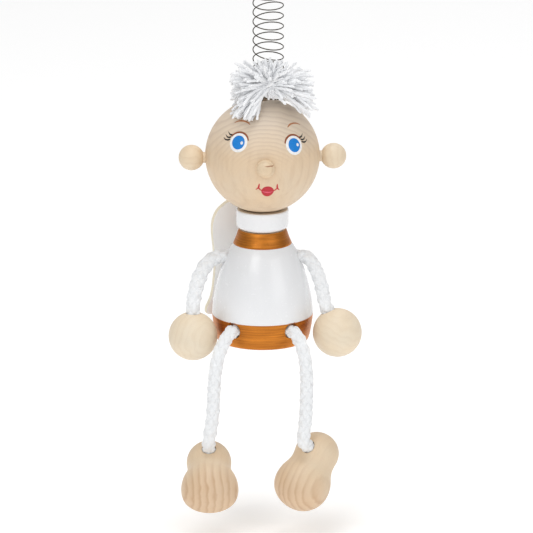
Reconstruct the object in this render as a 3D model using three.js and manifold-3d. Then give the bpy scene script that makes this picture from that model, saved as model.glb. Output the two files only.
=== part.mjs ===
// A jumping figure: a turned wooden angel with cord limbs that hangs on a coil spring from a screw eye.
//
// Millimetres, +Z up, the figure faces -Y, and its own left is +X. The origin is the hanging point,
// the inside top of the screw eye. The figure's pieces are drawn in its own frame, whose origin is
// the middle of the torso's top, and a group places them below the origin.

import * as THREE from 'three';
import { mergeVertices } from 'three/addons/utils/BufferGeometryUtils.js';
import Module from 'manifold-3d';

const wasm = await Module();
wasm.setup();

// ---- Driving dimensions ----

const GAP = 0.3; // between neighbouring pieces
const TORSO_TOP = -165; // below the hanging point

const EYE = { wire: 1.2, ring: 5.7, shank: 16 }; // radii of the wire and of the ring's centreline, shank length
const HANDLE = { radius: 10.5, centre: 137.5, eyeHole: 1.6, tailHole: 2.2, tailDepth: 5 };
const COIL = { wire: 0.25, radius: 6.6, x: 2.5, bottom: 60, top: 122.5, pitch: 4.354 };
// How far the coil's turns dip: towards the front, as a slope, and to the side, as a slope for each millimetre
// above the level turn, up to a most.
const COIL_DIP = { front: 0.2, level: 89.5, side: 0.0087, most: 0.12 };
const TAIL = { pivot: 127.5, top: 130.5, bottom: 52 }; // where the wire bends at the handle, and its two ends

const HEAD = { radius: 25, centre: 32.9, yaw: 3.1 };
const CROWN = { radius: 2.5, length: 9, bore: 0.7 };
const EAR = { radius: 5.6, reach: 31, drop: 0.6, tenon: 2.4, tenonDepth: 8 };
const NOSE = { radius: 4, reach: 25.75, tenon: 1.9, tenonDepth: 7, rise: 0.9 };

const COLLAR = { radius: 11.5, height: 9, topRim: 0.7, bottomRim: 2.4 };
const DOWEL = { radius: 4, bottom: -12, top: 21 };
const WING_PEG = { radius: 2.5, height: -20, depth: 9 };
const WING = { front: 22.8, thickness: 3, turn: 17.5 };

const CORD = { radius: 3, sides: 8, step: 3, hole: 3.3 };
const BEND_GAP = 3.4; // from a cord's bending point to where its next length starts
const ARM_HEIGHT = -12.7;
const LEG_HEIGHT = -42;
const LEG_TURN = 35.6; // the leg holes' directions, either side of the front
const HAND_RADIUS = 10.7;
const FOOT_HOLE = 7.6; // depth
const HEEL_RADIUS = 9.8;
const SOLE_DEPTH = 3.5; // below the middle line of the turned pin that a foot is cut from

// The torso's outline: radius and height of its turned side, from the base's edge up.
const TORSO = [
  [18.6, -50.1], [19.9, -49.7], [20.5, -48.6], [21.4, -44.5], [22.2, -38.6], [22.2, -37.6], [21.6, -31.5],
  [20.7, -26.7], [19.4, -21.8], [17.85, -16.9], [16.3, -12.9], [14.8, -9.5], [12.8, -6.4], [11.5, -3.2],
  [10.6, -0.6], [10.1, 0],
];

// Half of the wing plate's outline: distance from its middle line, and height.
const WING_TOP = [[0, 3], [2, 7.2], [5, 8.6], [8.6, 7.1], [13.5, 3.2], [15.7, -1.8], [16, -6.5], [15.2, -15.2]];
const WING_BOTTOM = [[14.8, -22], [16.5, -35.9], [18.9, -41.5], [18.6, -43.6], [15.5, -43.8], [6, -38], [0, -35.5]];

// The limbs' cord routes, in the figure's frame. Each starts inside the torso, leaves it at its second point and
// ends inside its hand or foot, which it enters at its last point but one. A limb bends at the points in bends.
const ARM_LEFT = {
  route: [
    [7.3, 0, ARM_HEIGHT], [15.5, 0, ARM_HEIGHT], [17.8, 0, ARM_HEIGHT], [20.6, -1.2, -13.8], [23.4, -3.2, -18],
    [25.3, -5.4, -22.9], [26.6, -8, -28], [27.3, -10.1, -31.5], [28.7, -10.6, -34.7], [31.9, -11.7, -42.1],
  ],
  bends: [3, 7],
};
const ARM_RIGHT = {
  route: [
    [-7.3, 0, ARM_HEIGHT], [-15.5, 0, ARM_HEIGHT], [-17.8, 0, ARM_HEIGHT], [-20.9, -0.8, -13.2],
    [-24.4, -2.6, -15.6], [-27.3, -5.4, -20], [-29.2, -9.3, -25.2], [-30.3, -13.4, -31.2], [-30.3, -13.6, -34.7],
    [-30.4, -14.1, -42.7],
  ],
  bends: [3, 7],
};
const LEG_LEFT = {
  route: [
    [7.6, -10.6, LEG_HEIGHT], [12.5, -17.4, LEG_HEIGHT], [13.9, -19.4, LEG_HEIGHT], [16.4, -22.2, -45.4],
    [18.3, -24.3, -51.3], [19.2, -25, -60], [19.2, -25.8, -69], [18.9, -26.8, -78], [18, -27.2, -89.7],
    [19.7, -24.5, -92.1], [22.6, -19.8, -96.3],
  ],
  bends: [3, 6, 8],
};
const LEG_RIGHT = {
  route: [
    [-7.6, -10.6, LEG_HEIGHT], [-12.5, -17.4, LEG_HEIGHT], [-13.9, -19.4, LEG_HEIGHT], [-16.6, -22.2, -45.4],
    [-19.2, -24.2, -51.3], [-20.6, -24.8, -59], [-21.3, -25.2, -69], [-21.8, -25.9, -78], [-23.5, -26.6, -89.7],
    [-23.5, -24.5, -93.1], [-23.5, -20.8, -99.1],
  ],
  bends: [3, 6, 8],
};

// Which way each foot's toe points. The cord's last stretch stands square on the heel.
const TOE_LEFT = [-0.41, -0.45, -0.79];
const TOE_RIGHT = [0.03, -0.85, -0.52];

// The turned pin that a foot is cut from: distance along it from the heel's middle, and radius.
const FOOT_OUTLINE = [
  [-9.8, 0], [-9.45, 2.6], [-8.5, 4.9], [-6.9, 6.95], [-4.9, 8.5], [-2.5, 9.5], [0, 9.8], [2.6, 9.6], [4.8, 9.6],
  [7.4, 10.3], [10.6, 11.7], [14.4, 12.5], [18.2, 12.2], [21.6, 10.6], [24.4, 7.6], [26, 4], [26.6, 0],
];

// ---- Materials ----

const material = (color, roughness, metalness = 0) =>
  new THREE.MeshStandardMaterial({ color, roughness, metalness });

const BARE_WOOD = material('#dcc5a2', 0.55);
const WHITE_PAINT = material('#eceff1', 0.25);
const WHITE_PLY = material('#e6eaec', 0.4);
const COTTON = material('#f0f1ef', 0.9);
const YARN = material('#f0f0ee', 0.95);
const SPRING_STEEL = material('#57503f', 0.35, 1);
const EYE_STEEL = material('#b9bbbd', 0.3, 1);

// ---- Helpers ----

const radians = THREE.MathUtils.degToRad;
const vector = ([x, y, z]) => new THREE.Vector3(x, y, z);

// A closed surface with its shared corners merged and no triangle that has collapsed to a line.
function welded(geometry) {
  const bare = geometry.clone();
  bare.deleteAttribute('normal');
  bare.deleteAttribute('uv');
  const merged = mergeVertices(bare, 1e-4);
  const corners = merged.index.array;
  const kept = [];
  for (let i = 0; i < corners.length; i += 3) {
    const [a, b, c] = corners.subarray(i, i + 3);
    if (a !== b && b !== c && c !== a) kept.push(a, b, c);
  }
  merged.setIndex(kept);
  return merged;
}

function toSolid(geometry) {
  const closed = welded(geometry);
  const vertProperties = closed.attributes.position.array;
  const triVerts = Uint32Array.from(closed.index.array);
  return new wasm.Manifold(new wasm.Mesh({ numProp: 3, vertProperties, triVerts }));
}

function toGeometry(solid) {
  const { vertProperties, triVerts } = solid.getMesh();
  const geometry = new THREE.BufferGeometry();
  geometry.setAttribute('position', new THREE.BufferAttribute(vertProperties, 3));
  geometry.setIndex(new THREE.BufferAttribute(triVerts, 1));
  geometry.computeVertexNormals();
  return geometry;
}

const cut = (geometry, ...tools) =>
  toGeometry(tools.reduce((solid, tool) => solid.subtract(toSolid(tool)), toSolid(geometry)));

const join = (geometry, ...others) =>
  toGeometry(others.reduce((solid, other) => solid.add(toSolid(other)), toSolid(geometry)));

// A solid of revolution about +Z, from [radius, height] pairs that run from bottom to top.
function turned(outline, segments = 24) {
  const points = outline.map(([radius, height]) => new THREE.Vector2(radius, height));
  return new THREE.LatheGeometry(points, segments).rotateX(Math.PI / 2);
}

// The pairs of a round arc for turned(): angles are from the equator, in degrees.
function arc(radius, height, from, to, steps) {
  const pairs = [];
  for (let i = 0; i <= steps; i += 1) {
    const angle = radians(from + ((to - from) * i) / steps);
    pairs.push([Math.abs(angle) > 1.5707 ? 0 : radius * Math.cos(angle), height + radius * Math.sin(angle)]);
  }
  return pairs;
}

const ball = (radius, segments = 24) => turned(arc(radius, 0, -90, 90, segments / 2), segments);

// A round rod or hole along a line between two points.
function rod(radius, start, end, segments = 16) {
  const [from, to] = [vector(start), vector(end)];
  const along = to.clone().sub(from);
  const geometry = new THREE.CylinderGeometry(radius, radius, along.length(), segments);
  geometry.applyQuaternion(
    new THREE.Quaternion().setFromUnitVectors(new THREE.Vector3(0, 1, 0), along.clone().normalize()),
  );
  return geometry.translate(...from.add(to).multiplyScalar(0.5).toArray());
}

const around = (radius, x, y, z, segments) => ball(radius, segments).translate(x, y, z);

// A tube of the given section radius that follows a list of points.
function tube(points, radius, sides, steps) {
  const section = new THREE.Shape();
  section.setFromPoints(
    Array.from({ length: sides }, (_, i) => {
      const angle = (2 * Math.PI * i) / sides;
      return new THREE.Vector2(radius * Math.cos(angle), radius * Math.sin(angle));
    }),
  );
  const extrudePath = new THREE.CatmullRomCurve3(points, false, 'centripetal');
  return new THREE.ExtrudeGeometry(section, { steps, extrudePath });
}

function named(name, geometry, look) {
  const mesh = new THREE.Mesh(geometry, look);
  mesh.name = name;
  return mesh;
}

// ---- The hanger and the spring ----

// An open ring of wire on a threaded shank: the loop stands in the X-Z plane, so that a hook goes through along Y.
function screwEye() {
  const { wire, ring, shank } = EYE;
  const middle = wire - ring;
  const loop = new THREE.TorusGeometry(ring, wire, 8, 24).rotateX(Math.PI / 2).translate(0, 0, middle);
  const top = middle - ring;
  return join(loop, rod(wire, [0, 0, top - shank], [0, 0, top], 8));
}

function handleBall() {
  const { radius, centre, eyeHole, tailHole, tailDepth } = HANDLE;
  const bottom = centre - radius;
  const eyeEnd = -TORSO_TOP + EYE.wire - 2 * EYE.ring - EYE.shank - GAP;
  return cut(
    around(radius, 0, 0, centre, 22),
    rod(eyeHole, [0, 0, eyeEnd], [0, 0, centre + radius + 1], 12),
    rod(tailHole, [0, 0, bottom - 1], [0, 0, bottom + tailDepth], 12),
  );
}

// The coil and the two spirals that bring the wire in to the middle, then its bottom tail.
function springPath() {
  const turns = (COIL.top - COIL.bottom) / COIL.pitch;
  const perTurn = 10;
  const count = Math.round(turns * perTurn);
  const points = [];
  for (let i = 0; i <= count; i += 1) {
    const angle = (-2 * Math.PI * i) / perTurn;
    const height = COIL.bottom + (COIL.pitch * i) / perTurn;
    const [x, y] = [COIL.radius * Math.cos(angle), COIL.radius * Math.sin(angle)];
    const side = THREE.MathUtils.clamp((height - COIL_DIP.level) * COIL_DIP.side, -COIL_DIP.most, COIL_DIP.most);
    points.push([COIL.x + x, y, height + COIL_DIP.front * y + side * x]);
  }
  const [lowX, lowY] = points[0];
  const [highX, highY] = points[count];
  const below = [[0, 0, TAIL.bottom], [0, 0, 56.6], [0, 0, 57.9], [1, 0.5, 58.9], [lowX * 0.6, lowY + 2.4, 59.3]];
  const above = [[highX * 0.5, highY * 0.5 + 1, COIL.top + 1.5], [0, 0, COIL.top + 3], [0, 0, TAIL.pivot - 1.2]];
  return [...below, ...points, ...above].map(vector);
}

function spring() {
  const path = springPath();
  return tube(path, COIL.wire, 6, path.length);
}

// The wire's top end, above where it bends at the handle ball's mouth.
const springTail = () => rod(COIL.wire, [0, 0, TAIL.pivot - 0.7], [0, 0, TAIL.top], 8);

// ---- The head ----

function headGroup() {
  const { radius, centre, yaw } = HEAD;
  const seat = COLLAR.height + GAP - centre;
  const earHole = EAR.reach - EAR.radius - EAR.tenonDepth - 0.8;
  const noseTilt = radians(NOSE.rise);
  const noseHole = NOSE.reach - NOSE.tenonDepth - 1;

  const seatAngle = THREE.MathUtils.radToDeg(Math.asin(seat / radius));
  const sphere = turned([[0, seat], ...arc(radius, 0, seatAngle, 90, 13)], 32);
  const head = cut(
    sphere,
    rod(CROWN.radius + GAP, [0, 0, radius - CROWN.length - 1.5], [0, 0, radius + 1]),
    rod(DOWEL.radius + GAP, [0, 0, seat - 1], [0, 0, DOWEL.top + GAP - centre]),
    rod(EAR.tenon + GAP, [earHole, 0, -EAR.drop], [radius + 1, 0, -EAR.drop], 16),
    rod(EAR.tenon + GAP, [-earHole, 0, -EAR.drop], [-radius - 1, 0, -EAR.drop], 16),
    rod(
      NOSE.tenon + GAP,
      [0, -noseHole * Math.cos(noseTilt), noseHole * Math.sin(noseTilt)],
      [0, -(radius + 1) * Math.cos(noseTilt), (radius + 1) * Math.sin(noseTilt)],
      12,
    ),
  );

  const earOutline = [
    [0, -EAR.radius - EAR.tenonDepth],
    [EAR.tenon, -EAR.radius - EAR.tenonDepth],
    ...arc(EAR.radius, 0, -64, 90, 9),
  ];
  const earLeft = turned(earOutline, 16).rotateY(Math.PI / 2).translate(EAR.reach, 0, -EAR.drop);
  const earRight = turned(earOutline, 16).rotateY(-Math.PI / 2).translate(-EAR.reach, 0, -EAR.drop);

  // The nose's back follows the head's curve, and its front is a dome.
  const back = (across) => Math.sqrt((radius + GAP) ** 2 - across ** 2) - NOSE.reach;
  const noseOutline = [
    [0, -NOSE.tenonDepth],
    [NOSE.tenon, -NOSE.tenonDepth],
    [NOSE.tenon, back(NOSE.tenon)],
    [NOSE.radius - 0.15, back(NOSE.radius)],
    ...arc(NOSE.radius, 0, -4, 90, 6),
  ];
  const nose = turned(noseOutline, 16)
    .translate(0, 0, NOSE.reach)
    .rotateX(Math.PI / 2 - noseTilt);

  const group = new THREE.Group();
  group.add(
    named('head', head, BARE_WOOD),
    named('ear_left', earLeft, BARE_WOOD),
    named('ear_right', earRight, BARE_WOOD),
    named('nose', nose, BARE_WOOD),
    named('crown_peg', crownPeg(), BARE_WOOD),
  );
  group.position.z = centre;
  group.rotation.z = radians(yaw);
  return group;
}

// The peg that wedges the spring's bottom tail in the head, bored for the wire.
function crownPeg() {
  const top = HEAD.radius - 1;
  const bore = rod(CROWN.bore, [0, 0, top - CROWN.length - 1], [0, 0, top + 1], 8);
  return cut(rod(CROWN.radius, [0, 0, top - CROWN.length], [0, 0, top], 12), bore);
}

// The hair's outer shape: tufts round the spring's foot, hollow above the head and round the coil.
function hair() {
  const tufts = [
    [18, 15, 10, 4, 0, 66],
    [10, 9, 9, -6, -13, 62],
    [9, 10, 10, 16, -4, 60],
    [14, 12, 9, 3, 11, 62],
    [11, 9, 8, 9, -10, 66],
  ];
  const lumps = tufts.map(([a, b, c, x, y, z]) => ball(1, 12).scale(a, b, c).translate(x, y, z));
  const mass = join(...lumps);
  const skull = around(HEAD.radius + GAP + 0.2, 0, 0, HEAD.centre, 24);
  const well = rod(COIL.radius + COIL.wire + 0.8, [COIL.x, 0, 50], [COIL.x, 0, 90]);
  return cut(mass, skull, well);
}

// ---- The body ----

function collar() {
  const { radius, height, topRim, bottomRim } = COLLAR;
  const bottom = GAP;
  const outline = [
    [0, bottom],
    [radius - bottomRim, bottom],
    ...arc(bottomRim, bottom + bottomRim, -60, 0, 2).map(([r, z]) => [radius - bottomRim + r, z]),
    ...arc(topRim, height - topRim, 0, 45, 1).map(([r, z]) => [radius - topRim + r, z]),
    [radius - topRim, height],
    [0, height],
  ];
  return cut(turned(outline, 28), rod(DOWEL.radius + GAP, [0, 0, -1], [0, 0, height + 1]));
}

const outwards = (degrees) => [Math.sin(radians(degrees)), -Math.cos(radians(degrees))];

function torso() {
  const base = TORSO[0][1];
  const body = turned([[0, base], ...TORSO, [0, 0]], 32);
  const armHole = rod(CORD.hole, [7.3 - GAP, 0, ARM_HEIGHT], [25, 0, ARM_HEIGHT]);
  const legHoles = [-1, 1].map((side) => {
    const [x, y] = outwards(side * LEG_TURN);
    return rod(CORD.hole, [12.8 * x, 12.8 * y, LEG_HEIGHT], [30 * x, 30 * y, LEG_HEIGHT]);
  });
  const [pegX, pegY] = outwards(180 + WING.turn);
  const { radius, height, depth } = WING_PEG;
  const pegHole = rod(radius + GAP, [depth * pegX, depth * pegY, height], [30 * pegX, 30 * pegY, height]);
  const neckHole = rod(DOWEL.radius + GAP, [0, 0, DOWEL.bottom - GAP], [0, 0, 1]);
  return cut(body, neckHole, armHole, armHole.clone().rotateZ(Math.PI), ...legHoles, pegHole);
}

// The wings are one flat plate. It is drawn square to the front, then turned a little about the vertical.
function wingGroup() {
  const right = [...WING_TOP, ...WING_BOTTOM];
  const left = right.slice(1, -1).reverse().map(([u, z]) => [-u, z]);
  const outline = new THREE.Shape([...right, ...left].map(([u, z]) => new THREE.Vector2(u, z)));
  const plate = new THREE.ExtrudeGeometry(outline, { depth: WING.thickness, bevelEnabled: false })
    .rotateX(Math.PI / 2)
    .translate(0, WING.front + WING.thickness, 0);
  const { radius, height, depth } = WING_PEG;
  const through = WING.front + WING.thickness;
  const hole = rod(radius + GAP, [0, through - 2, height], [0, WING.front - 1, height]);
  const peg = rod(radius, [0, depth + GAP, height], [0, through - 2 - GAP, height], 12);

  const group = new THREE.Group();
  group.add(named('wings', cut(plate, hole), WHITE_PLY), named('wing_peg', peg, BARE_WOOD));
  group.rotation.z = radians(WING.turn);
  return group;
}

// ---- The limbs ----

// A route as a curve, with how far along it each of its points lies.
function limbCurve(route) {
  const curve = new THREE.CatmullRomCurve3(route.map(vector), false, 'centripetal');
  const fine = 60;
  const lengths = curve.getLengths(fine * (route.length - 1));
  return { curve, at: route.map((_, i) => lengths[i * fine]), total: lengths[lengths.length - 1] };
}

// A length of cord between two distances along its route.
function cordLength({ curve, total }, from, to) {
  const steps = Math.max(2, Math.ceil((to - from) / CORD.step));
  const points = Array.from({ length: steps + 1 }, (_, i) =>
    curve.getPointAt((from + ((to - from) * i) / steps) / total),
  );
  return tube(points, CORD.radius, CORD.sides, steps);
}

// A cord's lengths, one for each stretch between its bends. All but one end in a ball at a bend, so that the next
// length turns round it, and the last is straight and belongs to the hand or the foot.
function cordPieces(limbName, { route, bends }) {
  const limb = limbCurve(route);
  const joint = (i) => around(CORD.radius, ...route[i], 10);
  const lastBend = bends.at(-1);
  const pieces = bends.map((bend, i) => {
    const from = i === 0 ? 0 : limb.at[bends[i - 1]] + BEND_GAP;
    const atLastBend = bend === lastBend;
    const length = cordLength(limb, from, limb.at[bend] - (atLastBend ? BEND_GAP : 0));
    return named(`${limbName}_cord_${'abc'[i]}`, atLastBend ? length : join(length, joint(bend)), COTTON);
  });
  const end = join(rod(CORD.radius, route[lastBend], route.at(-1), CORD.sides), joint(lastBend));
  return [...pieces, named(`${limbName}_cord_end`, end, COTTON)];
}

// The last straight stretch of a route: where the cord enters a hand or a foot, and the way it goes.
function entry({ route, bends }) {
  const bend = vector(route[bends.at(-1)]);
  const inwards = vector(route.at(-1)).sub(bend).normalize();
  return { bend, mouth: vector(route.at(-2)), inwards };
}

function hand(name, limb) {
  const { mouth, inwards } = entry(limb);
  const centre = mouth.clone().addScaledVector(inwards, Math.sqrt(HAND_RADIUS ** 2 - CORD.hole ** 2));
  const bottom = vector(limb.route.at(-1)).addScaledVector(inwards, GAP);
  const outside = mouth.clone().addScaledVector(inwards, -5);
  const drilled = cut(
    around(HAND_RADIUS, ...centre.toArray(), 22),
    rod(CORD.hole, bottom.toArray(), outside.toArray()),
  );
  return named(name, drilled, BARE_WOOD);
}

// A foot is drawn with its sole level, its toe along +X and its heel's middle at the origin.
function footShape() {
  const pin = turned(FOOT_OUTLINE.map(([along, radius]) => [radius, along]), 28).rotateY(Math.PI / 2);
  const below = new THREE.BoxGeometry(60, 40, 20).translate(0, 0, -10 - SOLE_DEPTH);
  const hole = rod(CORD.hole, [0, 0, HEEL_RADIUS - FOOT_HOLE], [0, 0, HEEL_RADIUS + 3]);
  return cut(pin, below, hole);
}

function foot(name, limb, toe) {
  const { mouth, inwards } = entry(limb);
  const up = inwards.clone().negate();
  const side = up.clone().cross(vector(toe)).normalize();
  const forward = side.clone().cross(up);
  const mesh = named(name, footShape(), BARE_WOOD);
  mesh.quaternion.setFromRotationMatrix(new THREE.Matrix4().makeBasis(forward, side, up));
  mesh.position.copy(mouth).addScaledVector(inwards, HEEL_RADIUS);
  return mesh;
}

// ---- The whole ----

const figure = new THREE.Group();
figure.add(
  named('screw_eye', screwEye().translate(0, 0, -TORSO_TOP), EYE_STEEL),
  named('handle_ball', handleBall(), BARE_WOOD),
  named('spring_tail', springTail(), SPRING_STEEL),
  named('spring', spring(), SPRING_STEEL),
  headGroup(),
  named('hair', hair(), YARN),
  named('collar', collar(), WHITE_PAINT),
  named('neck_dowel', rod(DOWEL.radius, [0, 0, DOWEL.bottom], [0, 0, DOWEL.top], 12), BARE_WOOD),
  named('torso', torso(), WHITE_PAINT),
  wingGroup(),
  ...cordPieces('arm_left', ARM_LEFT),
  ...cordPieces('arm_right', ARM_RIGHT),
  ...cordPieces('leg_left', LEG_LEFT),
  ...cordPieces('leg_right', LEG_RIGHT),
  hand('hand_left', ARM_LEFT),
  hand('hand_right', ARM_RIGHT),
  foot('foot_left', LEG_LEFT, TOE_LEFT),
  foot('foot_right', LEG_RIGHT, TOE_RIGHT),
);
figure.position.z = TORSO_TOP;

const group = new THREE.Group();
group.add(figure);
export default group;
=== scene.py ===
"""A wooden jumping figure on a coil spring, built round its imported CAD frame.

Shapes are drawn in millimetres in the figure's own frame: the origin is the middle of the torso's top, +Z is
up, the figure faces -Y and its own left is +X. The CAD model's row frame is in metres, and the figure's origin
is at the height TORSO_TOP in it.
"""

import math

import bmesh
import bpy
import numpy as np
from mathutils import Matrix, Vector


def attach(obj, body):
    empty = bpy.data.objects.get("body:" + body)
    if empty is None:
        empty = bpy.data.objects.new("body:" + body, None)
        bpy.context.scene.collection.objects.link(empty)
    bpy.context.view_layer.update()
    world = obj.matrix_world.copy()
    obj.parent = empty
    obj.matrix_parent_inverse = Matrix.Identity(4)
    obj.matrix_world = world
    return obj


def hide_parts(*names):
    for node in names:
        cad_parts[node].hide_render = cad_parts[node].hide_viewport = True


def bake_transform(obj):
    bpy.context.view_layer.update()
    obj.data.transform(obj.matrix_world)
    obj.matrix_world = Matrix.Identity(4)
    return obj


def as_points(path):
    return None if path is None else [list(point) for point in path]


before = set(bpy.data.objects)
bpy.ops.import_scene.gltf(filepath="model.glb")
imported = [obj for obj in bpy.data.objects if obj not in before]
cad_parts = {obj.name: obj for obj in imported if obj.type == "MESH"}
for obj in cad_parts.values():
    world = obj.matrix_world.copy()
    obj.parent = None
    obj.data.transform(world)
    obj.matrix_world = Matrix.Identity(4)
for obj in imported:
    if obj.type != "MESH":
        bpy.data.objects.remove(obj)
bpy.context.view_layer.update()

# ---- Dimensions, in millimetres ----

MM = 0.001
TORSO_TOP = -165.0

EYE = {"wire": 1.2, "ring": 5.7, "shank": 16.0}
HANDLE = {"radius": 10.5, "centre": 137.5, "eye_hole": 1.6, "tail_hole": 2.2, "tail_depth": 5.0}
COIL = {"wire": 0.25, "radius": 6.6, "x": 2.5, "bottom": 60.0, "top": 122.5, "pitch": 4.354}
# How far the coil's turns dip: towards the front, as a slope, and to the side, as a slope for each millimetre
# above the level turn, up to a most.
COIL_DIP = {"front": 0.2, "level": 89.5, "side": 0.0087, "most": 0.12}
TAIL = {"pivot": 127.5, "top": 130.5, "bottom": 52.0}

HEAD = {"radius": 25.0, "centre": 32.9, "yaw": 3.1}
CROWN = {"radius": 2.5, "length": 9.0, "bore": 0.5}
EAR = {"radius": 5.6, "reach": 31.0, "drop": 0.6, "tenon": 2.4, "depth": 8.0}
NOSE = {"radius": 4.0, "reach": 25.75, "tenon": 1.9, "depth": 7.0, "rise": 0.9}
COLLAR = {"radius": 11.5, "bottom": 0.3, "height": 9.0, "top_rim": 0.7, "bottom_rim": 2.4}
DOWEL = {"radius": 4.0, "bottom": -12.0, "top": 21.0}
PEG_FIT = 0.15  # how much wider a drilled hole is than its peg, each side
TENON_FIT = 0.12
WING_PEG = {"radius": 2.5, "height": -20.0, "start": 9.3, "end": 23.5}
WING = {"front": 22.8, "thickness": 3.0, "turn": 17.5}

CORD_RADIUS = 3.0
CORD_HOLE = 3.15
ARM_HEIGHT = -12.7
LEG_HEIGHT = -42.0
HAND_RADIUS = 10.7
HEEL_RADIUS = 9.8
SOLE_DEPTH = 3.5  # below the middle line of the turned pin that a foot is cut from

# The cords' holes in the torso: how far out a hole starts and ends, and the way a leg's hole points.
ARM_BORE = (15.9, 7.0)
LEG_BORE = (21.6, 12.8)
LEG_WAY = (0.582, -0.813, 0)

# The torso's outline: radius and height of its turned side, from the base's edge up, with a crease and a groove
# at the gold bands' edges. The lower band ends at LOWER_GOLD and the upper one starts at UPPER_GOLD.
TORSO_LOWER = [(18.6, -50.1), (19.9, -49.7), (20.5, -48.6), (21.4, -44.5), (22.2, -38.6)]
TORSO_UPPER = [
    (22.2, -37.6), (21.6, -31.5), (20.7, -26.7), (19.4, -21.8), (17.85, -16.9), (16.3, -12.9), (14.8, -9.5),
    (12.8, -6.4),
]
TORSO_NECK = [(12.8, -6.4), (11.5, -3.2), (10.6, -0.6), (10.1, 0.0)]
CREASE = [(22.2, -38.35), (22.12, -38.2), (22.12, -38.0), (22.2, -37.85)]
GROOVE = [(12.8, -6.4), (12.62, -6.3)]
LOWER_GOLD = -38.1
UPPER_GOLD = -6.35

# Half of the wing plate's outline: distance from its middle line, and height, from its top notch down.
WING_EDGE = [
    (0, 3), (2, 7.2), (5, 8.6), (8.6, 7.1), (13.5, 3.2), (15.7, -1.8), (16, -6.5), (15.2, -15.2), (14.8, -22),
    (16.5, -35.9), (18.9, -41.5), (18.6, -43.6), (15.5, -43.8), (6, -38), (0, -35.5),
]

# The turned pin that a foot is cut from: distance along it from the heel's middle, and radius.
FOOT_OUTLINE = [
    (-9.8, 0), (-9.45, 2.6), (-8.5, 4.9), (-6.9, 6.95), (-4.9, 8.5), (-2.5, 9.5), (0, 9.8), (2.6, 9.6),
    (4.8, 9.6), (7.4, 10.3), (10.6, 11.7), (14.4, 12.5), (18.2, 12.2), (21.6, 10.6), (24.4, 7.6), (26, 4),
    (26.6, 0),
]

# The limbs' cord routes. Each starts inside the torso, leaves it at its second point and enters its hand or
# foot at its last point but one. A limb bends at the points in "bends".
LIMBS = {
    "arm_left": {
        "route": [
            (7.3, 0, ARM_HEIGHT), (15.5, 0, ARM_HEIGHT), (17.8, 0, ARM_HEIGHT), (20.6, -1.2, -13.8),
            (23.4, -3.2, -18), (25.3, -5.4, -22.9), (26.6, -8, -28), (27.3, -10.1, -31.5), (28.7, -10.6, -34.7),
            (31.9, -11.7, -42.1),
        ],
        "bends": (3, 7),
    },
    "arm_right": {
        "route": [
            (-7.3, 0, ARM_HEIGHT), (-15.5, 0, ARM_HEIGHT), (-17.8, 0, ARM_HEIGHT), (-20.9, -0.8, -13.2),
            (-24.4, -2.6, -15.6), (-27.3, -5.4, -20), (-29.2, -9.3, -25.2), (-30.3, -13.4, -31.2),
            (-30.3, -13.6, -34.7), (-30.4, -14.1, -42.7),
        ],
        "bends": (3, 7),
    },
    "leg_left": {
        "route": [
            (7.6, -10.6, LEG_HEIGHT), (12.5, -17.4, LEG_HEIGHT), (13.9, -19.4, LEG_HEIGHT),
            (16.4, -22.2, -45.4), (18.3, -24.3, -51.3), (19.2, -25, -60), (19.2, -25.8, -69),
            (18.9, -26.8, -78), (18, -27.2, -89.7), (19.7, -24.5, -92.1), (22.6, -19.8, -96.3),
        ],
        "bends": (3, 6, 8),
    },
    "leg_right": {
        "route": [
            (-7.6, -10.6, LEG_HEIGHT), (-12.5, -17.4, LEG_HEIGHT), (-13.9, -19.4, LEG_HEIGHT),
            (-16.6, -22.2, -45.4), (-19.2, -24.2, -51.3), (-20.6, -24.8, -59), (-21.3, -25.2, -69),
            (-21.8, -25.9, -78), (-23.5, -26.6, -89.7), (-23.5, -24.5, -93.1), (-23.5, -20.8, -99.1),
        ],
        "bends": (3, 6, 8),
    },
}
TOES = {"left": (-0.41, -0.45, -0.79), "right": (0.03, -0.85, -0.52)}

# ---- Geometry helpers ----


def row(point):
    """A point of the figure's frame in millimetres, as a point of the row frame in metres."""
    return (point[0] * MM, point[1] * MM, (point[2] + TORSO_TOP) * MM)


def unit(vector):
    vector = np.asarray(vector, float)
    return vector / np.linalg.norm(vector)


def new_object(name, mesh):
    obj = bpy.data.objects.new(name, mesh)
    bpy.context.scene.collection.objects.link(obj)
    return obj


def solid(name, points, faces, sharp=35.0):
    """An object from points in the figure's frame, smooth but for edges sharper than an angle."""
    mesh = bpy.data.meshes.new(name)
    mesh.from_pydata([row(p) for p in points], [], [list(map(int, f)) for f in faces])
    mesh.update()
    mesh.polygons.foreach_set("use_smooth", [True] * len(mesh.polygons))
    mesh.set_sharp_from_angle(angle=math.radians(sharp))
    return new_object(name, mesh)


def gather(parts):
    """Several (points, faces) shapes as one."""
    points, faces, offset = [], [], 0
    for part_points, part_faces in parts:
        points.extend(map(tuple, part_points))
        faces.extend([[i + offset for i in face] for face in part_faces])
        offset += len(part_points)
    return points, faces


def placing(origin, axis=(0, 0, 1), side=(1, 0, 0)):
    """The 4x4 placing of a shape drawn about +Z: its origin goes to origin, +Z to axis, +X near to side."""
    up = unit(axis)
    forward = unit(np.asarray(side, float) - up * np.dot(side, up))
    placed = np.eye(4)
    placed[:3, 0], placed[:3, 1], placed[:3, 2], placed[:3, 3] = forward, np.cross(up, forward), up, origin
    return placed


def placed(points, placement):
    return np.asarray(points, float) @ placement[:3, :3].T + placement[:3, 3]


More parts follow.
